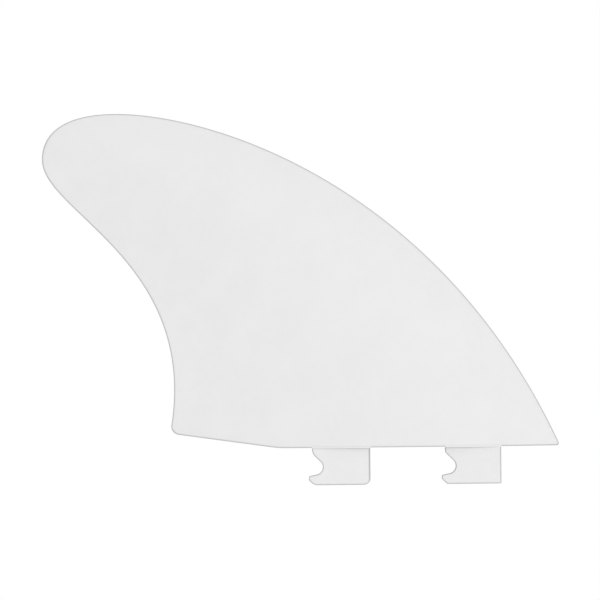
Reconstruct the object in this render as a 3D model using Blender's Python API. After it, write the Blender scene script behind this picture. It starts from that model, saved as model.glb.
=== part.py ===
"""Surfboard side fin with two plug-in tabs, one moulding in white fibre-filled resin.

The blade is foiled on one side only: its inner side is flat, its outer side swells to the full
thickness over the tabs and thins towards the leading edge, the trailing edge and the raked tip.

Frame, in metres: +X runs forward along the base, +Z runs from the base up to the tip, and the
foiled outer side faces -Y. The origin lies on the base, halfway along the gap between the tabs
and in the middle of their thickness.
"""
import math

import bmesh
import bpy
from mathutils import Vector
from mathutils.geometry import interpolate_bezier

# Outline of the blade, seen from its side
LEAD_FOOT = 0.0595           # origin forward to where leading edge and base would meet
LEAD_ANGLE = 65.6            # leading edge to base, degrees
LEAD_FULLNESS = 0.508        # how far each end holds its direction, as a share of the span
FOOT_RADIUS = 0.0009         # rounded corner between leading edge and base
CROWN_HEIGHT = 0.1309        # base to the highest point of the outline
CROWN_SETBACK = 0.1130       # origin back to the highest point
CROWN_FRONT_FULLNESS = 0.181
CROWN_REAR_FULLNESS = 0.615
TIP_HEIGHT = 0.1132          # base to the rearmost point of the tip
TIP_SETBACK = 0.1414         # origin back to the rearmost point of the tip
TIP_TOP_FULLNESS = 0.296
TIP_UNDER_FULLNESS = 0.176
TRAIL_FOOT = 0.0925          # origin back to where trailing edge and relief would meet
TRAIL_ANGLE = 80.8           # trailing edge to base, degrees
TRAIL_FULLNESS = 0.564
RELIEF_SETBACK = 0.0501      # origin back to where the base starts to rise
RELIEF_ANGLE = 8.1           # rise of the base behind that point, degrees
RELIEF_RADIUS = 0.040        # bend between base and relief
REAR_CORNER_RADIUS = 0.0033

# Foil
BASE_THICKNESS = 0.0095      # thickest point, just above the base
FULLEST_SHARE = 0.37         # share of the chord from leading edge to thickest point
TAPER_POWER = 1.5            # how late the thickness goes on the way to the tip
EDGE_THICKNESS = 0.0014      # full round of the leading and trailing edges
BASE_EDGE_RADIUS = 0.0006

# Tabs
TAB_PITCH = 0.0510           # front face of one tab to front face of the other
FRONT_TAB_LENGTH = 0.0218
REAR_TAB_LENGTH = 0.0226
TAB_THICKNESS = 0.0063
TAB_DEPTH = 0.01455
TAB_EDGE_RADIUS = 0.0007     # rounding along both faces of the tab
FLAT_SIDE_STEP = 0.0005      # flat side of the blade stands out past the tab
FRONT_TOE_RADIUS = 0.0004    # lower front corner of each tab
REAR_TOE_RADIUS = 0.0026

# Hook at the back of each tab
RAMP_DEPTH = 0.00225         # base to where the notch's upper side leaves the tab's back
RAMP_ANGLE = 44.5
FRONT_RAMP_RADIUS = 0.0015
REAR_RAMP_RADIUS = 0.0034
NOTCH_RADIUS = 0.0030
HOOK_TOP_DEPTH = 0.01085     # base to the hook's upper side, at the tab's back
HOOK_TOP_ANGLE = 12.0
HOOK_REACH = 0.00135         # tab's back to the nose
HOOK_NOSE_DEPTH = 0.0126     # base to the lower end of the hook's nose
HOOK_NOSE_RADIUS = 0.0006
HOOK_HEEL = 0.00065          # tab's back to where the hook's underside runs out
FRONT_HEEL_RADIUS = 0.0010
REAR_HEEL_RADIUS = 0.0036

# Collar round the root of each tab
COLLAR_DEPTH = 0.0006
COLLAR_MARGIN = 0.0001       # collar past the tab's ends
COLLAR_FILLET = 0.0004       # hollow between collar and base
COLLAR_EDGE_RADIUS = 0.0002
COLLAR_INSET = 0.0001        # collar in from the blade's sides
COLLAR_ROOT = 0.0010         # how far collar and tab run up into the blade
TAB_ROOT = 0.0015

# Fineness of the mesh
SPAN_STEPS = 34
CHORD_STEPS = 20
RELIEF_STEPS = 6
CORNER_STEPS = 4
EDGE_STEPS = 3
CURVE_STEPS = 160

TAB_GAP = TAB_PITCH - FRONT_TAB_LENGTH
FRONT_TAB_BACK = TAB_GAP / 2
REAR_TAB_BACK = -TAB_GAP / 2 - REAR_TAB_LENGTH
FLAT_SIDE = TAB_THICKNESS / 2 + FLAT_SIDE_STEP
EDGE_PLANE = FLAT_SIDE - EDGE_THICKNESS / 2


# Plane curves: every point is (x, z)

def heading(degrees):
    """Unit vector in the side view, turned up from +X."""
    angle = math.radians(degrees)
    return Vector((math.cos(angle), math.sin(angle)))


def sweep(start, start_heading, start_fullness, end, end_heading, end_fullness):
    """Cubic curve that leaves and arrives in given directions."""
    span = (end - start).length
    leave = start + start_fullness * span * heading(start_heading)
    arrive = end - end_fullness * span * heading(end_heading)
    return [Vector(p) for p in interpolate_bezier(start, leave, arrive, end, CURVE_STEPS)]


def arc(centre, radius, first, last, steps):
    """Points round a circle, between two angles in degrees."""
    return [centre + radius * heading(first + (last - first) * i / steps) for i in range(steps + 1)]


def half_angle(before, corner, after):
    """Half the angle between the two sides of a corner."""
    return (before - corner).angle(after - corner) / 2


def fillet(before, corner, after, reach, steps, growth=0.0):
    """Arc that rounds a corner from one side to the other, grown about its own centre."""
    to_before = (before - corner).normalized()
    to_after = (after - corner).normalized()
    half = half_angle(before, corner, after)
    radius = reach * math.tan(half)
    centre = corner + (to_before + to_after).normalized() * radius / math.sin(half)
    start = corner + to_before * reach - centre
    end = corner + to_after * reach - centre
    first = math.degrees(math.atan2(start.y, start.x))
    return arc(centre, radius + growth, first, first - math.degrees(start.angle_signed(end)), steps)


def rounded(corners, steps, inset=0.0):
    """Closed outline from corners given as (x, z, radius), drawn in by an inset.

    Fillets share a side that is too short for both of them.
    """
    points = [Vector((x, z)) for x, z, radius in corners]
    around = [(points[i - 1], point, points[(i + 1) % len(points)]) for i, point in enumerate(points)]
    wanted = [corner[2] / math.tan(half_angle(*three)) for corner, three in zip(corners, around)]
    outline = []
    for i, (before, point, after) in enumerate(around):
        next_wanted = wanted[(i + 1) % len(wanted)]
        share = max((wanted[i] + wanted[i - 1]) / (point - before).length,
                    (wanted[i] + next_wanted) / (after - point).length)
        reach = wanted[i] / max(1.0, share / 0.98)
        half = half_angle(before, point, after)
        radius = reach * math.tan(half)
        hollow = (after - point).cross(before - point) < 0
        if inset >= radius and not hollow:
            to_middle = ((before - point).normalized() + (after - point).normalized()).normalized()
            outline += [point + to_middle * inset / math.sin(half)] * (steps + 1 if radius else 1)
        else:
            outline += fillet(before, point, after, reach, steps, inset if hollow else -inset)
    return outline


def lengths_along(points):
    """Distance from the first point to each point."""
    total = [0.0]
    for a, b in zip(points, points[1:]):
        total.append(total[-1] + (b - a).length)
    return total


def at_shares(points, shares):
    """Points at given shares of a curve's length, with the shares in rising order."""
    run = lengths_along(points)
    found = []
    i = 0
    for share in shares:
        target = share * run[-1]
        while i < len(points) - 2 and run[i + 1] < target:
            i += 1
        found.append(points[i].lerp(points[i + 1], (target - run[i]) / (run[i + 1] - run[i])))
    return found


def shares_along(points):
    """Each point's share of a curve's length."""
    run = lengths_along(points)
    return [distance / run[-1] for distance in run]


# Outline of the blade: a base line, a trailing edge and a leading edge that meet at the tip

def relief_height(x):
    """Height of the relief line above the base."""
    return max(0.0, (-RELIEF_SETBACK - x) * math.tan(math.radians(RELIEF_ANGLE)))


def rear_corner():
    """Rounded corner between relief and trailing edge, as its lower and upper half."""
    corner = Vector((-TRAIL_FOOT, relief_height(-TRAIL_FOOT)))
    half = math.radians(TRAIL_ANGLE + RELIEF_ANGLE) / 2
    middle = (TRAIL_ANGLE - RELIEF_ANGLE) / 2
    centre = corner + heading(middle) * REAR_CORNER_RADIUS / math.sin(half)
    low, high = 270 - RELIEF_ANGLE, 90 + TRAIL_ANGLE
    waist = (low + high) / 2
    return (arc(centre, REAR_CORNER_RADIUS, low, waist, CORNER_STEPS),
            arc(centre, REAR_CORNER_RADIUS, waist, high, CORNER_STEPS))


def foot_corner():
    """Rounded corner between leading edge and base, as its lower and upper half from the middle."""
    centre = Vector((LEAD_FOOT - FOOT_RADIUS / math.tan(math.radians(LEAD_ANGLE) / 2), FOOT_RADIUS))
    low, high = -90, 90 - LEAD_ANGLE
    middle = (low + high) / 2
    return (arc(centre, FOOT_RADIUS, middle, low, CORNER_STEPS),
            arc(centre, FOOT_RADIUS, middle, high, CORNER_STEPS))


def base_line():
    """Middle of the foot's corner, back along base and relief, to the middle of the rear corner."""
    foot = foot_corner()[0]
    start = foot[-1]
    bend = Vector((-RELIEF_SETBACK, 0))
    lower_corner = rear_corner()[0]
    reach = RELIEF_RADIUS / math.tan(half_angle(start, bend, lower_corner[0]))
    reach = min(reach, 0.9 * (bend - lower_corner[0]).length)
    bend_arc = fillet(start, bend, lower_corner[0], reach, CORNER_STEPS)
    line = foot[:-1]
    for i in range(CHORD_STEPS):
        line.append(start.lerp(bend_arc[0], (i / CHORD_STEPS) ** 1.4))
    line += bend_arc
    for i in range(1, RELIEF_STEPS):
        line.append(bend_arc[-1].lerp(lower_corner[0], i / RELIEF_STEPS))
    return line + lower_corner


def trailing_edge():
    """Middle of the rear corner, up to the rearmost point of the tip."""
    upper_corner = rear_corner()[1]
    tip = Vector((-TIP_SETBACK, TIP_HEIGHT))
    edge = sweep(upper_corner[-1], TRAIL_ANGLE, TRAIL_FULLNESS, tip, 90, TIP_UNDER_FULLNESS)
    return upper_corner[:-1] + edge


def leading_edge():
    """Middle of the foot's corner, over the crown, to the rearmost point of the tip."""
    foot = foot_corner()[1]
    crown = Vector((-CROWN_SETBACK, CROWN_HEIGHT))
    tip = Vector((-TIP_SETBACK, TIP_HEIGHT))
    front = sweep(foot[-1], 180 - LEAD_ANGLE, LEAD_FULLNESS, crown, 180, CROWN_FRONT_FULLNESS)
    back = sweep(crown, 180, CROWN_REAR_FULLNESS, tip, 270, TIP_TOP_FULLNESS)
    return foot[:-1] + front + back[1:]


def span_shares(lead, trail):
    """Shares of the span at which the blade has a row, close together round corners and tip."""
    foot_shares = shares_along(lead)[:CORNER_STEPS + 1]
    corner_shares = shares_along(trail)[:CORNER_STEPS + 1]
    start = corner_shares[-1]
    rest = []
    for i in range(1, SPAN_STEPS + 1):
        rest.append(start + (1 - start) * (1 - (1 - i / SPAN_STEPS) ** 1.5))
    return sorted(set(foot_shares + corner_shares)) + rest


def inward(loop):
    """For each corner of a closed outline, the move that shifts both its sides in by 1."""
    normals = []
    for a, b in zip(loop, loop[1:] + loop[:1]):
        along = (b - a).normalized()
        normals.append(Vector((along.y, -along.x)))
    moves = []
    for i, normal in enumerate(normals):
        last = normals[i - 1]
        moves.append((last + normal) / (1 + last.dot(normal)))
    return moves


# Foil: how far the outer side stands out past the thin edge

def swell(point, share, lead, trail):
    """Extra thickness at a point of the row between one point of each edge."""
    chord = trail - lead
    if share >= 1 or chord.length < 1e-9:
        return 0.0
    across = min(1.0, max(0.0, (point - lead).dot(chord) / chord.length_squared))
    forward = FULLEST_SHARE / (1 - FULLEST_SHARE)
    section = math.sin(math.pi * across / (across + forward * (1 - across)))
    taper = 1 - share ** TAPER_POWER
    return (BASE_THICKNESS - EDGE_THICKNESS) * section * taper


def edge_radius(share):
    """Radius of the blade's edge, which opens from the base's to the full round."""
    ease = min(1.0, share / 0.05)
    ease = ease * ease * (3 - 2 * ease)
    return BASE_EDGE_RADIUS + (EDGE_THICKNESS / 2 - BASE_EDGE_RADIUS) * ease


# Mesh helpers

def new_object(name, bm):
    """Object from a finished mesh, smooth apart from its true edges."""
    bmesh.ops.recalc_face_normals(bm, faces=bm.faces)
    mesh = bpy.data.meshes.new(name)
    bm.to_mesh(mesh)
    bm.free()
    mesh.shade_smooth()
    mesh.set_sharp_from_angle(angle=math.radians(35))
    obj = bpy.data.objects.new(name, mesh)
    bpy.context.scene.collection.objects.link(obj)
    return obj


def strip(bm, first, second):
    """Faces between two closed rows of vertices."""
    for i in range(len(first)):
        j = (i + 1) % len(first)
        bm.faces.new((first[i], first[j], second[j], second[i]))


# Blade

def make_blade():
    """Blade as a skin of chordwise rows, a rolled edge all round and a flat inner side."""
    base = base_line()
    lead_curve, trail_curve = leading_edge(), trailing_edge()
    shares = span_shares(lead_curve, trail_curve)
    trail = at_shares(trail_curve, shares)
    lead = at_shares(lead_curve, shares)
    columns, rows = len(base) - 1, len(shares) - 1

    # One closed outline: base, trailing edge, then the leading edge from the tip down
    loop = base + trail[1:] + lead[-2:0:-1]
    row_of = [0] * columns + list(range(rows + 1)) + list(range(rows - 1, 0, -1))
    moves = inward(loop)
    bm = bmesh.new()

    def edge_row(turn, side):
        """Row of the rolled edge, turned from the middle (0) to one side's face (90)."""
        points, verts = [], []
        for spot, move, row in zip(loop, moves, row_of):
            radius = edge_radius(shares[row])
            point = spot + move * radius * (1 - math.cos(math.radians(turn)))
            height = EDGE_THICKNESS / 2 - radius + radius * math.sin(math.radians(turn))
            if side < 0:
                height += swell(point, shares[row], lead[row], trail[row])
            points.append(point)
            verts.append(bm.verts.new((point.x, EDGE_PLANE + side * height, point.y)))
        return points, verts

    turns = [90 * k / EDGE_STEPS for k in range(EDGE_STEPS + 1)]
    outer = [edge_row(turn, -1) for turn in turns]
    inner = [edge_row(turn, 1) for turn in turns]
    stack = [verts for points, verts in reversed(outer)] + [verts for points, verts in inner]
    for first, second in zip(stack, stack[1:]):
        strip(bm, first, second)
    bm.faces.new(stack[-1])

    # Outer skin inside the rolled edge
    rim, rim_verts = outer[-1]
    rim_base = rim[:columns + 1]
    rim_trail = rim[columns:columns + rows + 1]
    rim_lead = [rim[0]] + rim[:columns + rows - 1:-1]
    across = shares_along(rim_base)
    sag = [p - rim_lead[0].lerp(rim_trail[0], w) for p, w in zip(rim_base, across)]
    grid = [rim_verts[:columns + 1]]
    for row in range(1, rows):
        hold = max(0.0, 1 - shares[row] / 0.35) ** 2
        verts = [rim_verts[-row]]
        for column in range(1, columns):
            point = rim_lead[row].lerp(rim_trail[row], across[column]) + hold * sag[column]
            height = EDGE_THICKNESS / 2 + swell(point, shares[row], lead[row], trail[row])
            verts.append(bm.verts.new((point.x, EDGE_PLANE - height, point.y)))
        verts.append(rim_verts[columns + row])
        grid.append(verts)
    tip = rim_verts[columns + rows]
    for low, high in zip(grid, grid[1:]):
        for i in range(columns):
            bm.faces.new((low[i], low[i + 1], high[i + 1], high[i]))
    for i in range(columns):
        bm.faces.new((grid[-1][i], grid[-1][i + 1], tip))

    bmesh.ops.remove_doubles(bm, verts=bm.verts, dist=0.000001)
    return new_object("fin", bm)


# Tabs

def make_tab(name, back, length, ramp_radius, heel_radius, toe_radius):
    """Flat tab with a notch and a hook cut in its back, and rounded edges along both faces."""
    ramp = math.tan(math.radians(RAMP_ANGLE))
    rise = math.tan(math.radians(HOOK_TOP_ANGLE))
    notch = (HOOK_TOP_DEPTH - RAMP_DEPTH) / (ramp + rise)
    corners = [
        (back, TAB_ROOT, 0),
        (back, -RAMP_DEPTH, ramp_radius),
        (back + notch, -RAMP_DEPTH - ramp * notch, NOTCH_RADIUS),
        (back - HOOK_REACH, -HOOK_TOP_DEPTH - rise * HOOK_REACH, HOOK_NOSE_RADIUS),
        (back - HOOK_REACH, -HOOK_NOSE_DEPTH, HOOK_NOSE_RADIUS),
        (back + HOOK_HEEL, -TAB_DEPTH, heel_radius),
        (back + length, -TAB_DEPTH, toe_radius),
        (back + length, TAB_ROOT, 0),
    ]
    bm = bmesh.new()
    layers = []
    for side in (-1, 1):
        for i in range(EDGE_STEPS + 1):
            turn = math.radians(90 * (EDGE_STEPS - i if side < 0 else i) / EDGE_STEPS)
            inset = TAB_EDGE_RADIUS * (1 - math.cos(turn))
            y = side * (TAB_THICKNESS / 2 - TAB_EDGE_RADIUS * (1 - math.sin(turn)))
            layers.append([bm.verts.new((p.x, y, p.y)) for p in rounded(corners, 8, inset)])
    for first, second in zip(layers, layers[1:]):
        strip(bm, first, second)
    bm.faces.new(layers[0])
    bm.faces.new(layers[-1])
    bmesh.ops.remove_doubles(bm, verts=bm.verts, dist=0.000001)
    return new_object(name, bm)


def make_collar(name, back, front):
    """Low land round a tab's root, as wide as the blade, lofted along the base."""
    start, end = back - COLLAR_MARGIN, front + COLLAR_MARGIN
    buried = BASE_EDGE_RADIUS * 0.6
    stations = []
    for i in range(4):
        turn = math.radians(90 * i / 4)
        outset = COLLAR_FILLET * (1 - math.sin(turn))
        stations.append((start - outset, buried - (COLLAR_DEPTH + buried) * (1 - math.cos(turn))))
    for i in range(9):
        stations.append((start + (end - start) * i / 8, -COLLAR_DEPTH))
    for x, z in stations[3::-1]:
        stations.append((end + start - x, z))

    base = base_line()
    lead, trail = base[0], base[-1]
    bm = bmesh.new()
    sections = []
    for x, bottom in stations:
        outer = EDGE_PLANE - EDGE_THICKNESS / 2 - swell(Vector((x, 0)), 0, lead, trail) + COLLAR_INSET
        inner = FLAT_SIDE - COLLAR_INSET
        corner = COLLAR_EDGE_RADIUS
        section = [(outer, COLLAR_ROOT)]
        section += arc(Vector((outer + corner, bottom + corner)), corner, 180, 270, 2)
        section += arc(Vector((inner - corner, bottom + corner)), corner, 270, 360, 2)
        section.append((inner, COLLAR_ROOT))
        sections.append([bm.verts.new((x, y, z)) for y, z in section])
    for first, second in zip(sections, sections[1:]):
        strip(bm, first, second)
    bm.faces.new(sections[0])
    bm.faces.new(sections[-1])
    bmesh.ops.remove_doubles(bm, verts=bm.verts, dist=0.000001)
    return new_object(name, bm)


def join(body, piece):
    """Grow one solid by another, whose own mesh stays as a guide."""
    piece.display_type = "WIRE"
    piece.hide_render = True
    union = body.modifiers.new(piece.name, "BOOLEAN")
    union.operation = "UNION"
    union.object = piece


# Finish: one white resin throughout

def white_resin():
    material = bpy.data.materials.new("white resin")
    material.use_nodes = True
    shader = material.node_tree.nodes["Principled BSDF"]
    shader.inputs["Base Color"].default_value = (0.80, 0.80, 0.80, 1)
    shader.inputs["Roughness"].default_value = 0.45
    shader.inputs["Metallic"].default_value = 0.0
    return material


for old in list(bpy.data.objects):
    bpy.data.objects.remove(old)

fin = make_blade()
fin.data.materials.append(white_resin())
front_end = FRONT_TAB_BACK + FRONT_TAB_LENGTH
rear_end = REAR_TAB_BACK + REAR_TAB_LENGTH
join(fin, make_collar("front_collar", FRONT_TAB_BACK, front_end))
join(fin, make_collar("rear_collar", REAR_TAB_BACK, rear_end))
join(fin, make_tab("front_tab", FRONT_TAB_BACK, FRONT_TAB_LENGTH,
                   FRONT_RAMP_RADIUS, FRONT_HEEL_RADIUS, FRONT_TOE_RADIUS))
join(fin, make_tab("rear_tab", REAR_TAB_BACK, REAR_TAB_LENGTH,
                   REAR_RAMP_RADIUS, REAR_HEEL_RADIUS, REAR_TOE_RADIUS))
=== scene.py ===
import math

import bmesh
import bpy
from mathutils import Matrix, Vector


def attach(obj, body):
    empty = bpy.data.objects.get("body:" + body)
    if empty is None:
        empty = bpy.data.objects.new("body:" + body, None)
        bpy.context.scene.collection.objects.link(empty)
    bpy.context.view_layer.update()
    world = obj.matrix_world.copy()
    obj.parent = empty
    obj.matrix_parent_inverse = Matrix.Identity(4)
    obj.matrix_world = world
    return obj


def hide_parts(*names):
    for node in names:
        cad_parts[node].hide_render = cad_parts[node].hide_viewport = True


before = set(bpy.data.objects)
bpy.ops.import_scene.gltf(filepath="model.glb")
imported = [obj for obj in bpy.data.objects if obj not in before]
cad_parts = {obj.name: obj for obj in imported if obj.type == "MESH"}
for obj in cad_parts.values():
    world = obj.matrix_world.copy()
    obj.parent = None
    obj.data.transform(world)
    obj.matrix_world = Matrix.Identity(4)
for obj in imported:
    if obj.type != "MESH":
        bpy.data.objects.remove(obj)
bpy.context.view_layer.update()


# Blade
# The whole fin is one moulding in white fibre-filled resin, struck from a two-part mould. Its
# blade is flat on the inner side and foiled on the outer side, and every edge is rolled over.
LEAD_FOOT = 0.0595
LEAD_ANGLE = 65.6
LEAD_FULLNESS = 0.508
FOOT_RADIUS = 0.0009
CROWN = (-0.1130, 0.1309)
CROWN_FRONT_FULLNESS = 0.181
CROWN_REAR_FULLNESS = 0.615
TIP = (-0.1414, 0.1132)
TIP_TOP_FULLNESS = 0.296
TIP_UNDER_FULLNESS = 0.176
TRAIL_FOOT = 0.0925
TRAIL_ANGLE = 80.8
TRAIL_FULLNESS = 0.564
RELIEF_SETBACK = 0.0501
RELIEF_ANGLE = 8.1
RELIEF_RADIUS = 0.040
REAR_CORNER_RADIUS = 0.0033
RELIEF_FADE = 0.35

BASE_THICKNESS = 0.0095
FULLEST_SHARE = 0.37
TAPER_POWER = 1.5
EDGE_THICKNESS = 0.0014
BASE_EDGE_RADIUS = 0.0007
TAB_THICKNESS = 0.0063
FLAT_SIDE_STEP = 0.0005
FLAT_SIDE = TAB_THICKNESS / 2 + FLAT_SIDE_STEP
EDGE_PLANE = FLAT_SIDE - EDGE_THICKNESS / 2

CURVE_STEPS = 192
CHORD_STEPS = 140
SPAN_STEPS = 150
ROW_EVENNESS = 0.15
TIP_EVENNESS = 0.9
TIP_EVENNESS_POWER = 6.0
HAIR = 0.0001
MERGE_DISTANCE = 0.0000005


def heading(degrees):
    """Unit vector in the side view, turned up from +X."""
    angle = math.radians(degrees)
    return Vector((math.cos(angle), 0, math.sin(angle)))


def spot(x, z):
    """Point of the side view, in the plane of the blade's edges."""
    return Vector((x, EDGE_PLANE, z))


def drawn_curve(name, knots):
    """Bezier curve from knots given as (point, handle back, handle on)."""
    curve = bpy.data.curves.new(name, "CURVE")
    curve.dimensions = "3D"
    curve.resolution_u = CURVE_STEPS
    spline = curve.splines.new("BEZIER")
    spline.bezier_points.add(len(knots) - 1)
    for knot, (point, back, on) in zip(spline.bezier_points, knots):
        knot.handle_left_type = knot.handle_right_type = "FREE"
        knot.co = point
        knot.handle_left = point + back
        knot.handle_right = point + on
    drawn = bpy.data.objects.new(name, curve)
    bpy.context.scene.collection.objects.link(drawn)
    return drawn


def arc_pull(turn, radius):
    """Reach of the two handles that draw an arc."""
    return 4 / 3 * math.tan(turn / 4) * radius


def round_corner(corner, low_side, high_side, radius):
    """Lower end, middle and upper end of a rounded corner, and the reach of its handles."""
    half = math.radians(abs(high_side - low_side)) / 2
    low = corner + heading(low_side) * radius / math.tan(half)
    middle = corner + heading((low_side + high_side) / 2) * radius * (1 / math.sin(half) - 1)
    high = corner + heading(high_side) * radius / math.tan(half)
    return low, middle, high, arc_pull(math.pi / 2 - half, radius)


crown, tip = spot(*CROWN), spot(*TIP)
foot_low, foot, foot_high, foot_pull = round_corner(spot(LEAD_FOOT, 0), 180, 180 - LEAD_ANGLE, FOOT_RADIUS)
up_foot, up_lead = heading(90 - LEAD_ANGLE / 2), heading(180 - LEAD_ANGLE)
front_span, back_span = (crown - foot_high).length, (tip - crown).length
leading_edge = drawn_curve("leading_edge", [
    (foot, Vector(), foot_pull * up_foot),
    (foot_high, -foot_pull * up_lead, LEAD_FULLNESS * front_span * up_lead),
    (crown, CROWN_FRONT_FULLNESS * front_span * heading(0), CROWN_REAR_FULLNESS * back_span * heading(180)),
    (tip, TIP_TOP_FULLNESS * back_span * heading(90), Vector()),
])

bend = spot(-RELIEF_SETBACK, 0)
corner = spot(-TRAIL_FOOT, (TRAIL_FOOT - RELIEF_SETBACK) * math.tan(math.radians(RELIEF_ANGLE)))
low_end, waist, high_end, pull = round_corner(corner, -RELIEF_ANGLE, TRAIL_ANGLE, REAR_CORNER_RADIUS)
up_waist, up_trail = heading((TRAIL_ANGLE - RELIEF_ANGLE) / 2 + 90), heading(TRAIL_ANGLE)
trail_span = (tip - high_end).length
trailing_edge = drawn_curve("trailing_edge", [
    (waist, Vector(), pull * up_waist),
    (high_end, -pull * up_trail, TRAIL_FULLNESS * trail_span * up_trail),
    (tip, TIP_UNDER_FULLNESS * trail_span * heading(270), Vector()),
])

turn = math.radians(RELIEF_ANGLE)
bend_reach = RELIEF_RADIUS * math.tan(turn / 2)
bend_pull = arc_pull(turn, RELIEF_RADIUS)
aft = heading(180 - RELIEF_ANGLE)
bend_start, bend_end = bend - heading(180) * bend_reach, bend + aft * bend_reach
run, rise = (bend_start - foot_low) / 3, (low_end - bend_end) / 3
base_line = drawn_curve("base_line", [
    (foot, Vector(), -foot_pull * up_foot),
    (foot_low, heading(0) * foot_pull, run),
    (bend_start, -run, heading(180) * bend_pull),
    (bend_end, -aft * bend_pull, rise),
    (low_end, -rise, aft * pull),
    (waist, -pull * up_waist, Vector()),
])


def input_identifier(tree, name):
    """Identifier of a tree's named input."""
    for item in tree.interface.items_tree:
        if item.item_type == "SOCKET" and item.in_out == "INPUT" and item.name == name:
            return item.identifier


# Geometry Nodes tree that lofts the blade. Each row of its grid starts at the leading edge, runs
# over the foiled side to the trailing edge and comes back along the flat side.
loft = bpy.data.node_groups.new("foiled blade", "GeometryNodeTree")
loft.interface.new_socket("Geometry", in_out="OUTPUT", socket_type="NodeSocketGeometry")
for name in ("Leading Edge", "Trailing Edge", "Base Line"):
    loft.interface.new_socket(name, in_out="INPUT", socket_type="NodeSocketObject")
for name in ("Base Thickness", "Fullest Share", "Taper Power",
             "Edge Thickness", "Base Edge Radius", "Edge Plane"):
    loft.interface.new_socket(name, in_out="INPUT", socket_type="NodeSocketFloat")
for name in ("Chord Steps", "Span Steps"):
    loft.interface.new_socket(name, in_out="INPUT", socket_type="NodeSocketInt")
loft.interface.new_socket("Material", in_out="INPUT", socket_type="NodeSocketMaterial")
given = loft.nodes.new("NodeGroupInput").outputs


def place(kind, inputs=(), **settings):
    """Add a node to the loft, with sockets or values for its inputs by place or by name."""
    node = loft.nodes.new(kind)
    for key, value in settings.items():
        setattr(node, key, value)
    pairs = inputs.items() if isinstance(inputs, dict) else enumerate(inputs)
    for key, value in pairs:
        if isinstance(value, bpy.types.NodeSocket):
            loft.links.new(value, node.inputs[key])
        elif value is not None:
            node.inputs[key].default_value = value
    return node


def calc(operation, *values):
    return place("ShaderNodeMath", values, operation=operation).outputs[0]


def blend(first, second, share):
    """Vector on the way from one to another."""
    node = place("ShaderNodeMix", data_type="VECTOR")
    # A vector mix has its factor in socket 0 and its two vectors in 4 and 5
    for key, value in ((0, share), (4, first), (5, second)):
        loft.links.new(value, node.inputs[key])
    return node.outputs[1]


def vector_calc(operation, first, second):
    return place("ShaderNodeVectorMath", (first, second), operation=operation).outputs[0]


def eased(value):
    """0 to 1, with steps that shorten towards both ends."""
    return calc("MULTIPLY_ADD", calc("COSINE", calc("MULTIPLY", value, math.pi)), -0.5, 0.5)


columns = calc("MULTIPLY_ADD", given["Chord Steps"], 2.0, 1.0)
rows = calc("ADD", given["Span Steps"], 2.0)
grid = place("GeometryNodeMeshGrid", (1.0, 1.0, columns, rows)).outputs["Mesh"]
at = place("ShaderNodeSeparateXYZ", (place("GeometryNodeInputPosition").outputs[0],)).outputs
round_share = calc("ADD", at["X"], 0.5)
foiled_side = calc("LESS_THAN", round_share, 0.5 + HAIR)
across_step = calc("SUBTRACT", 1.0, calc("ABSOLUTE", calc("MULTIPLY_ADD", round_share, 2.0, -1.0)))

# The lowest row is drawn in to the middle of the base wall and closes it
row = calc("MULTIPLY", calc("ADD", at["Y"], 0.5), calc("ADD", given["Span Steps"], 1.0))
closing = calc("LESS_THAN", row, 0.5)
along_step = calc("MAXIMUM", calc("DIVIDE", calc("SUBTRACT", row, 1.0), given["Span Steps"]), 0.0)
along = eased(along_step)
row_evenness = calc("MULTIPLY", along_step, ROW_EVENNESS)
along = calc("MULTIPLY_ADD", row_evenness, calc("SUBTRACT", along_step, along), along)
across = eased(across_step)
tip_evenness = calc("MULTIPLY", calc("POWER", along_step, TIP_EVENNESS_POWER), TIP_EVENNESS)
across = calc("MULTIPLY_ADD", tip_evenness, calc("SUBTRACT", across_step, across), across)


def curve_of(name):
    return place("GeometryNodeObjectInfo", (given[name],)).outputs["Geometry"]


def point_on(curve, share):
    sample = place("GeometryNodeSampleCurve", {"Curves": curve, "Factor": share}, mode="FACTOR")
    return sample.outputs["Position"]


lead_curve, trail_curve = curve_of("Leading Edge"), curve_of("Trailing Edge")
base_curve = curve_of("Base Line")
zero = calc("MULTIPLY", along, 0.0)
one = calc("ADD", zero, 1.0)
row_point = blend(point_on(lead_curve, along), point_on(trail_curve, along), across)
straight = blend(point_on(base_curve, zero), point_on(base_curve, one), across)
sag = vector_calc("SUBTRACT", point_on(base_curve, across), straight)
hold = calc("POWER", calc("MAXIMUM", calc("MULTIPLY_ADD", along, -1 / RELIEF_FADE, 1.0), 0.0), 2.0)
held_sag = place("ShaderNodeVectorMath", operation="SCALE")
loft.links.new(sag, held_sag.inputs[0])
loft.links.new(hold, held_sag.inputs["Scale"])
outline_point = vector_calc("ADD", row_point, held_sag.outputs[0])


def distance_to(*curves):
    """Distance of each point of the grid from the curves."""
    joined = place("GeometryNodeJoinGeometry")
    for curve in curves:
        loft.links.new(place("GeometryNodeCurveToMesh", (curve,)).outputs[0], joined.inputs[0])
    near = place("GeometryNodeProximity", target_element="EDGES")
    loft.links.new(joined.outputs[0], near.inputs[0])
    loft.links.new(outline_point, near.inputs["Sample Position"])
    return near.outputs["Distance"]


def rolled(distance, radius):
    """Share of full height that a round of this radius has reached at this distance."""
    short = calc("SUBTRACT", 1.0, calc("MINIMUM", calc("DIVIDE", distance, radius), 1.0))
    return calc("SQRT", calc("SUBTRACT", 1.0, calc("POWER", short, 2.0)))


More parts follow.
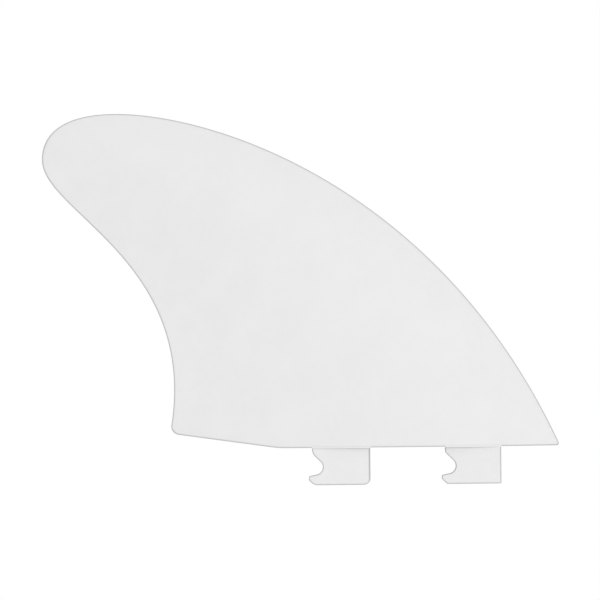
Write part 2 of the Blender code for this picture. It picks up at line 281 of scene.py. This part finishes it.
edge_radius = calc("MULTIPLY", given["Edge Thickness"], 0.5)
on_rim = calc("MAXIMUM", calc("LESS_THAN", across_step, HAIR), calc("GREATER_THAN", along_step, 1 - HAIR))
edge_height = calc("MULTIPLY", rolled(distance_to(lead_curve, trail_curve), edge_radius), edge_radius)
edge_height = calc("MULTIPLY", edge_height, calc("SUBTRACT", 1.0, on_rim))
base_radius = given["Base Edge Radius"]
base_cut = calc("MULTIPLY", calc("SUBTRACT", 1.0, rolled(distance_to(base_curve), base_radius)), base_radius)

forward = calc("DIVIDE", given["Fullest Share"], calc("SUBTRACT", 1.0, given["Fullest Share"]))
drawn_back = calc("MULTIPLY_ADD", calc("SUBTRACT", 1.0, across), forward, across)
section = calc("SINE", calc("MULTIPLY", calc("DIVIDE", across, drawn_back), math.pi))
taper = calc("SUBTRACT", 1.0, calc("POWER", along, given["Taper Power"]))
extra = calc("SUBTRACT", given["Base Thickness"], given["Edge Thickness"])
swell = calc("MULTIPLY", calc("MULTIPLY", extra, calc("MAXIMUM", section, 0.0)), taper)

flat_height = calc("MULTIPLY", edge_height, calc("SUBTRACT", 1.0, calc("DIVIDE", base_cut, edge_radius)))
foil_height = calc("ADD", flat_height, swell)
full_height = calc("ADD", flat_height, foil_height)
side_height = calc("SUBTRACT", flat_height, calc("MULTIPLY", foiled_side, full_height))
wall_middle = calc("MULTIPLY", calc("SUBTRACT", flat_height, foil_height), 0.5)
height = calc("MULTIPLY_ADD", closing, calc("SUBTRACT", wall_middle, side_height), side_height)
level = calc("ADD", height, given["Edge Plane"])
flat = place("ShaderNodeSeparateXYZ", (outline_point,)).outputs
shaped = place("ShaderNodeCombineXYZ", (flat["X"], level, flat["Z"])).outputs[0]

moved = place("GeometryNodeSetPosition", {"Geometry": grid, "Position": shaped}).outputs[0]
merged = place("GeometryNodeMergeByDistance", {"Geometry": moved, "Distance": MERGE_DISTANCE}).outputs[0]
flipped = place("GeometryNodeFlipFaces", (merged,)).outputs[0]
realized = place("GeometryNodeRealizeInstances", (flipped,)).outputs[0]
coated = place("GeometryNodeSetMaterial", {"Geometry": realized, "Material": given["Material"]}).outputs[0]
loft.links.new(coated, loft.nodes.new("NodeGroupOutput").inputs[0])


# White resin: a satin skin off the mould, faintly clouded by the short fibres under it. Its edges
# were sanded back, which leaves them duller; their grey is painted shade, where they turn side-on.
SKIN_DARK = 0.804
SKIN_LIGHT = 0.816
# Grey painted on the rolled edges as shade, where they turn side-on to the lamps
EDGE_SHADE_GREY = 0.57
SKIN_ROUGHNESS = (0.52, 0.62)
SANDED_ROUGHNESS = 0.8
FACE_TURN = 0.93
EDGE_TURN = 0.55
GRAIN_STRENGTH = 0.3
GRAIN_HEIGHT = 0.00005

# Each pattern's scale, detail and roughness
WIDE_CLOUDS = (60.0, 3.0, 0.5)
FINE_CLOUDS = (420.0, 3.0, 0.6)
GLOSS_CLOUDS = (90.0, 4.0, 0.6)
GRAIN = (3200.0, 2.0, 0.5)
# How far the patterns' values reach
CLOUDS_REACH = (0.7, 1.3)
GLOSS_REACH = (0.35, 0.65)

resin = bpy.data.materials.new("white_resin")
resin.use_nodes = True
nodes, links = resin.node_tree.nodes, resin.node_tree.links
shader = nodes["Principled BSDF"]
coordinates = nodes.new("ShaderNodeTexCoord")


def noise(scale, detail, roughness):
    texture = nodes.new("ShaderNodeTexNoise")
    texture.inputs["Scale"].default_value = scale
    texture.inputs["Detail"].default_value = detail
    texture.inputs["Roughness"].default_value = roughness
    links.new(coordinates.outputs["Object"], texture.inputs["Vector"])
    return texture.outputs["Fac"]


def ranged(value, low, high, to_low, to_high):
    """Value mapped from one range to another, with a soft start and end."""
    node = nodes.new("ShaderNodeMapRange")
    node.interpolation_type = "SMOOTHSTEP"
    links.new(value, node.inputs["Value"])
    for name, number in (("From Min", low), ("From Max", high), ("To Min", to_low), ("To Max", to_high)):
        node.inputs[name].default_value = number
    return node.outputs["Result"]


clouds = nodes.new("ShaderNodeMath")
clouds.operation = "ADD"
links.new(noise(*WIDE_CLOUDS), clouds.inputs[0])
links.new(noise(*FINE_CLOUDS), clouds.inputs[1])
skin = nodes.new("ShaderNodeCombineColor")
for name in ("Red", "Green", "Blue"):
    links.new(ranged(clouds.outputs[0], *CLOUDS_REACH, SKIN_DARK, SKIN_LIGHT), skin.inputs[name])

facing = nodes.new("ShaderNodeSeparateXYZ")
links.new(coordinates.outputs["Normal"], facing.inputs[0])
sideways = nodes.new("ShaderNodeMath")
sideways.operation = "ABSOLUTE"
links.new(facing.outputs["Y"], sideways.inputs[0])
# Share of painted shade on the edges, also used for their roughness: it grows as the surface turns side-on
rim_shade_and_roughness = ranged(sideways.outputs[0], FACE_TURN, EDGE_TURN, 0.0, 1.0)

# A colour mix has its two colours in sockets 6 and 7, and a plain mix its two numbers in 2 and 3
colour = nodes.new("ShaderNodeMix")
colour.data_type = "RGBA"
links.new(rim_shade_and_roughness, colour.inputs["Factor"])
links.new(skin.outputs[0], colour.inputs[6])
# The edges' painted shade
colour.inputs[7].default_value = (EDGE_SHADE_GREY, EDGE_SHADE_GREY, EDGE_SHADE_GREY, 1)
links.new(colour.outputs[2], shader.inputs["Base Color"])

gloss = nodes.new("ShaderNodeMix")
links.new(rim_shade_and_roughness, gloss.inputs["Factor"])
links.new(ranged(noise(*GLOSS_CLOUDS), *GLOSS_REACH, *SKIN_ROUGHNESS), gloss.inputs[2])
gloss.inputs[3].default_value = SANDED_ROUGHNESS
links.new(gloss.outputs[0], shader.inputs["Roughness"])

bump = nodes.new("ShaderNodeBump")
bump.inputs["Strength"].default_value = GRAIN_STRENGTH
bump.inputs["Distance"].default_value = GRAIN_HEIGHT
links.new(noise(*GRAIN), bump.inputs["Height"])
links.new(bump.outputs["Normal"], shader.inputs["Normal"])

blade = bpy.data.objects.new("blade", bpy.data.meshes.new("blade"))
bpy.context.scene.collection.objects.link(blade)
lofted = blade.modifiers.new("loft", "NODES")
lofted.node_group = loft
settings = {
    "Leading Edge": leading_edge, "Trailing Edge": trailing_edge, "Base Line": base_line,
    "Base Thickness": BASE_THICKNESS, "Fullest Share": FULLEST_SHARE, "Taper Power": TAPER_POWER,
    "Edge Thickness": EDGE_THICKNESS, "Base Edge Radius": BASE_EDGE_RADIUS, "Edge Plane": EDGE_PLANE,
    "Chord Steps": CHORD_STEPS, "Span Steps": SPAN_STEPS, "Material": resin,
}
for name, value in settings.items():
    lofted[input_identifier(loft, name)] = value
blade.update_tag()
bpy.context.view_layer.update()
shape = bpy.data.meshes.new_from_object(blade.evaluated_get(bpy.context.evaluated_depsgraph_get()))
blade.modifiers.remove(lofted)
blade.data = shape
for drawn in (leading_edge, trailing_edge, base_line):
    bpy.data.objects.remove(drawn)


# Tabs and collars
# Two flat tabs moulded on below the base plug into the board. Each has a notch and a hook in its
# back, and a low collar, filleted into the base at both ends, runs round its root.
TAB_PITCH = 0.0510
FRONT_TAB_LENGTH = 0.0218
REAR_TAB_LENGTH = 0.0226
TAB_DEPTH = 0.01455
TAB_EDGE_RADIUS = 0.0007
FRONT_TAB_FRONT_RADIUS = 0.0011
REAR_TAB_FRONT_RADIUS = 0.0015
EDGE_BLEND = 0.0010
TAB_EDGE_STEPS = 6
FILLET_STEPS = 16
FILLET_SHARE = 0.98
FRONT_TOE_RADIUS = 0.0004
REAR_TOE_RADIUS = 0.0026
RAMP_DEPTH = 0.00225
RAMP_ANGLE = 44.5
FRONT_RAMP_RADIUS = 0.0015
REAR_RAMP_RADIUS = 0.0034
NOTCH_RADIUS = 0.0030
HOOK_TOP_DEPTH = 0.01085
HOOK_TOP_ANGLE = 12.0
HOOK_REACH = 0.00135
HOOK_NOSE_DEPTH = 0.0126
HOOK_NOSE_RADIUS = 0.0006
HOOK_HEEL = 0.00065
FRONT_HEEL_RADIUS = 0.0010
REAR_HEEL_RADIUS = 0.0036
COLLAR_DEPTH = 0.0004
COLLAR_MARGIN = 0.0001
COLLAR_FILLET = 0.0004
COLLAR_EDGE_RADIUS = 0.0002
COLLAR_INSET = 0.0001
COLLAR_ROOT = 0.0010
COLLAR_STEPS = 24
COLLAR_END_STEPS = 8
COLLAR_EDGE_STEPS = 4
TAB_ROOT = 0.0015
SHARP_ANGLE = 40
TAB_GAP = TAB_PITCH - FRONT_TAB_LENGTH


def arc(centre, radius, first, last, steps):
    """Points round a circle on paper, between two angles in degrees."""
    points = []
    for i in range(steps + 1):
        angle = math.radians(first + (last - first) * i / steps)
        points.append(centre + radius * Vector((math.cos(angle), math.sin(angle))))
    return points


def rounded(corners, steps, inset):
    """Closed outline from corners given as (x, z, radius), drawn in by an inset from the full one."""
    points = [Vector((x, z)) for x, z, radius in corners]
    following = points[1:] + points[:1]
    sides = [(points[i - 1] - point, following[i] - point) for i, point in enumerate(points)]
    halves = [before.angle(after) / 2 for before, after in sides]
    wanted = [corner[2] / math.tan(half) for corner, half in zip(corners, halves)]
    outline = []
    for i, (point, (before, after), half) in enumerate(zip(points, sides, halves)):
        convex = before.x * after.y - before.y * after.x < 0
        to_middle = (before.normalized() + after.normalized()).normalized()
        # Fillets share a side that is too short for both
        share = max((wanted[i] + wanted[i - 1]) / before.length,
                    (wanted[i] + wanted[(i + 1) % len(wanted)]) / after.length)
        reach = wanted[i] / max(1.0, share / FILLET_SHARE)
        radius = reach * math.tan(half)
        centre = point + to_middle * radius / math.sin(half)
        if convex and inset >= radius:
            outline += [point + to_middle * inset / math.sin(half)] * (steps + 1 if radius else 1)
            continue
        start = point + before.normalized() * reach - centre
        end = point + after.normalized() * reach - centre
        first = math.degrees(math.atan2(start.y, start.x))
        turned = -math.degrees(start.angle_signed(end))
        outline += arc(centre, radius - inset if convex else radius + inset, first, first + turned, steps)
    return outline


def shell(name, bm, rings):
    """Closed object from rings of points, with a face across the first and the last."""
    for first, second in zip(rings, rings[1:]):
        for i in range(len(first)):
            j = (i + 1) % len(first)
            bm.faces.new((first[i], first[j], second[j], second[i]))
    bm.faces.new(rings[0])
    bm.faces.new(rings[-1])
    bmesh.ops.remove_doubles(bm, verts=bm.verts, dist=MERGE_DISTANCE)
    bmesh.ops.recalc_face_normals(bm, faces=bm.faces)
    mesh = bpy.data.meshes.new(name)
    bm.to_mesh(mesh)
    bm.free()
    mesh.materials.append(resin)
    made = bpy.data.objects.new(name, mesh)
    bpy.context.scene.collection.objects.link(made)
    return made


def make_tab(name, back, length, front_radius, ramp_radius, heel_radius, toe_radius):
    """Flat tab from its side outline, with the edges of both faces rounded over."""
    ramp, rise = math.tan(math.radians(RAMP_ANGLE)), math.tan(math.radians(HOOK_TOP_ANGLE))
    notch = (HOOK_TOP_DEPTH - RAMP_DEPTH) / (ramp + rise)
    corners = [
        (back, TAB_ROOT, 0),
        (back, -RAMP_DEPTH, ramp_radius),
        (back + notch, -RAMP_DEPTH - ramp * notch, NOTCH_RADIUS),
        (back - HOOK_REACH, -HOOK_TOP_DEPTH - rise * HOOK_REACH, HOOK_NOSE_RADIUS),
        (back - HOOK_REACH, -HOOK_NOSE_DEPTH, HOOK_NOSE_RADIUS),
        (back + HOOK_HEEL, -TAB_DEPTH, heel_radius),
        (back + length, -TAB_DEPTH, toe_radius),
        (back + length, TAB_ROOT, 0),
    ]
    toe_points = FILLET_STEPS // 2 if toe_radius > front_radius else 0
    bm = bmesh.new()
    layers = []
    for side in (-1, 1):
        for i in range(TAB_EDGE_STEPS + 1):
            turn = math.pi / 2 * (TAB_EDGE_STEPS - i if side < 0 else i) / TAB_EDGE_STEPS
            outline = rounded(corners, FILLET_STEPS, TAB_EDGE_RADIUS * (1 - math.cos(turn)))
            # The front edge's wider radius starts halfway round a large toe, or else just above the toe
            outline.insert(-1, outline[-2] + Vector((0, EDGE_BLEND)))
            layer = []
            for j, point in enumerate(outline):
                share = min(max((j - len(outline) + 3 + toe_points) / max(toe_points, 1), 0), 1)
                radius = TAB_EDGE_RADIUS + (front_radius - TAB_EDGE_RADIUS) * share
                x = point.x - (radius - TAB_EDGE_RADIUS) * (1 - math.cos(turn))
                y = side * (TAB_THICKNESS / 2 - radius * (1 - math.sin(turn)))
                layer.append(bm.verts.new((x, y, point.y)))
            layers.append(layer)
    return shell(name, bm, layers)


def make_collar(name, back, front):
    """Low land round a tab's root, lofted along the base between the blade's two sides."""
    start, end = back - COLLAR_MARGIN, front + COLLAR_MARGIN
    buried = BASE_EDGE_RADIUS / 2
    stations = []
    for i in range(COLLAR_END_STEPS):
        turn = math.pi / 2 * i / COLLAR_END_STEPS
        stations.append((start - COLLAR_FILLET * (1 - math.sin(turn)),
                         buried - (COLLAR_DEPTH + buried) * (1 - math.cos(turn))))
    for i in range(COLLAR_STEPS + 1):
        stations.append((start + (end - start) * i / COLLAR_STEPS, -COLLAR_DEPTH))
    for x, z in stations[COLLAR_END_STEPS - 1::-1]:
        stations.append((end + start - x, z))
    forward = FULLEST_SHARE / (1 - FULLEST_SHARE)
    bm = bmesh.new()
    sections = []
    for x, bottom in stations:
        across = (foot.x - x) / (foot.x - waist.x)
        section = math.sin(math.pi * across / (across + forward * (1 - across)))
        swell = (BASE_THICKNESS - EDGE_THICKNESS) * section
        outer = EDGE_PLANE - EDGE_THICKNESS / 2 - swell + COLLAR_INSET
        inner = FLAT_SIDE - COLLAR_INSET
        radius = COLLAR_EDGE_RADIUS
        section = [Vector((outer, COLLAR_ROOT))]
        section += arc(Vector((outer + radius, bottom + radius)), radius, 180, 270, COLLAR_EDGE_STEPS)
        section += arc(Vector((inner - radius, bottom + radius)), radius, 270, 360, COLLAR_EDGE_STEPS)
        section.append(Vector((inner, COLLAR_ROOT)))
        sections.append([bm.verts.new((x, p.x, p.y)) for p in section])
    return shell(name, bm, sections)


added = []
for name, back, length, *radii in (
        ("front", TAB_GAP / 2, FRONT_TAB_LENGTH,
         FRONT_TAB_FRONT_RADIUS, FRONT_RAMP_RADIUS, FRONT_HEEL_RADIUS, FRONT_TOE_RADIUS),
        ("rear", -TAB_GAP / 2 - REAR_TAB_LENGTH, REAR_TAB_LENGTH,
         REAR_TAB_FRONT_RADIUS, REAR_RAMP_RADIUS, REAR_HEEL_RADIUS, REAR_TOE_RADIUS)):
    added.append(make_collar(name + "_collar", back, back + length))
    added.append(make_tab(name + "_tab", back, length, *radii))

# Blade, collars and tabs are one solid moulding, with its flat faces kept flat
for piece in added:
    union = blade.modifiers.new(piece.name, "BOOLEAN")
    union.operation = "UNION"
    union.object = piece
bpy.context.view_layer.update()
whole = bpy.data.meshes.new_from_object(blade.evaluated_get(bpy.context.evaluated_depsgraph_get()))
for piece in [blade] + added:
    bpy.data.objects.remove(piece)
whole.shade_smooth()
whole.set_sharp_from_angle(angle=math.radians(SHARP_ANGLE))
moulding = bpy.data.objects.new("moulding", whole)
bpy.context.scene.collection.objects.link(moulding)
evened = moulding.modifiers.new("even normals", "WEIGHTED_NORMAL")
evened.keep_sharp = True

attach(moulding, "root")
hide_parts("fin")


# Floor
# A plain pale grey studio table with a matt top. It stands well below the fin, so that neither it
# nor the fin's shadow on it comes into the picture.
FLOOR_LEVEL = -0.25
FLOOR_SIZE = 8.0
FLOOR_GREY = 0.6
FLOOR_ROUGHNESS = 0.7

floor_mesh = bpy.data.meshes.new("floor")
reach = FLOOR_SIZE / 2
floor_mesh.from_pydata([(-reach, -reach, FLOOR_LEVEL), (reach, -reach, FLOOR_LEVEL),
                        (reach, reach, FLOOR_LEVEL), (-reach, reach, FLOOR_LEVEL)], [], [(0, 1, 2, 3)])
floor = bpy.data.objects.new("floor", floor_mesh)
bpy.context.scene.collection.objects.link(floor)
board = bpy.data.materials.new("grey_table")
board.use_nodes = True
top = board.node_tree.nodes["Principled BSDF"]
top.inputs["Base Color"].default_value = (FLOOR_GREY, FLOOR_GREY, FLOOR_GREY, 1)
top.inputs["Roughness"].default_value = FLOOR_ROUGHNESS
floor_mesh.materials.append(board)


# Light
# A bright studio all round, with a soft square lamp far off on either side in front, and another
# behind. Each is shaded to a cone, so that little of its light falls on the table.
FIN_MIDDLE = Vector((-0.04, 0, 0.058))
LAMP_SIZE = 0.3
LAMP_SPREAD = 100
FILL = 0.6
LAMPS = (
    # Name, place and power in watts
    ("left", Vector((-0.5, -1.9, 0.1)), 2.41),
    ("right", Vector((1.2, -1.9, 0.15)), 3.71),
    ("behind", Vector((0.3, 1.9, 0.6)), 3.4),
)

world = bpy.data.worlds.new("studio")
bpy.context.scene.world = world
world.use_nodes = True
tree = world.node_tree
tree.nodes.clear()
path = tree.nodes.new("ShaderNodeLightPath")
fill, white = tree.nodes.new("ShaderNodeBackground"), tree.nodes.new("ShaderNodeBackground")
fill.inputs["Strength"].default_value = FILL
white.inputs["Strength"].default_value = 1.0
for background in (fill, white):
    background.inputs["Color"].default_value = (1, 1, 1, 1)
seen = tree.nodes.new("ShaderNodeMath")
seen.operation = "ADD"
tree.links.new(path.outputs["Is Camera Ray"], seen.inputs[0])
tree.links.new(path.outputs["Is Glossy Ray"], seen.inputs[1])
clear = tree.nodes.new("ShaderNodeMath")
clear.operation = "ADD"
clear.use_clamp = True
tree.links.new(seen.outputs[0], clear.inputs[0])
tree.links.new(path.outputs["Is Transmission Ray"], clear.inputs[1])
choice = tree.nodes.new("ShaderNodeMixShader")
tree.links.new(clear.outputs[0], choice.inputs["Fac"])
tree.links.new(fill.outputs[0], choice.inputs[1])
tree.links.new(white.outputs[0], choice.inputs[2])
tree.links.new(choice.outputs[0], tree.nodes.new("ShaderNodeOutputWorld").inputs["Surface"])

for name, spot_at, power in LAMPS:
    light = bpy.data.lights.new(name, "AREA")
    light.shape = "SQUARE"
    light.size = LAMP_SIZE
    light.spread = math.radians(LAMP_SPREAD)
    light.energy = power
    lamp = bpy.data.objects.new(name, light)
    bpy.context.scene.collection.objects.link(lamp)
    lamp.location = spot_at
    lamp.rotation_euler = (FIN_MIDDLE - spot_at).to_track_quat("-Z", "Y").to_euler()


# Camera
# A long lens, square to the blade's side and held a touch off level, far enough off to take in
# the whole fin.
CAMERA_X = -0.04134
CAMERA_Z = 0.05764
CAMERA_DISTANCE = 3.900
CAMERA_TILT = 0.585
LENS_LENGTH = 600
SENSOR_WIDTH = 36

lens = bpy.data.cameras.new("camera")
lens.lens = LENS_LENGTH
lens.sensor_width = SENSOR_WIDTH
camera = bpy.data.objects.new("camera", lens)
bpy.context.scene.collection.objects.link(camera)
camera.location = (CAMERA_X, EDGE_PLANE - CAMERA_DISTANCE, CAMERA_Z)
camera.rotation_euler = (math.radians(90), math.radians(CAMERA_TILT), 0)
bpy.context.scene.camera = camera
bpy.context.scene.view_settings.view_transform = "Standard"
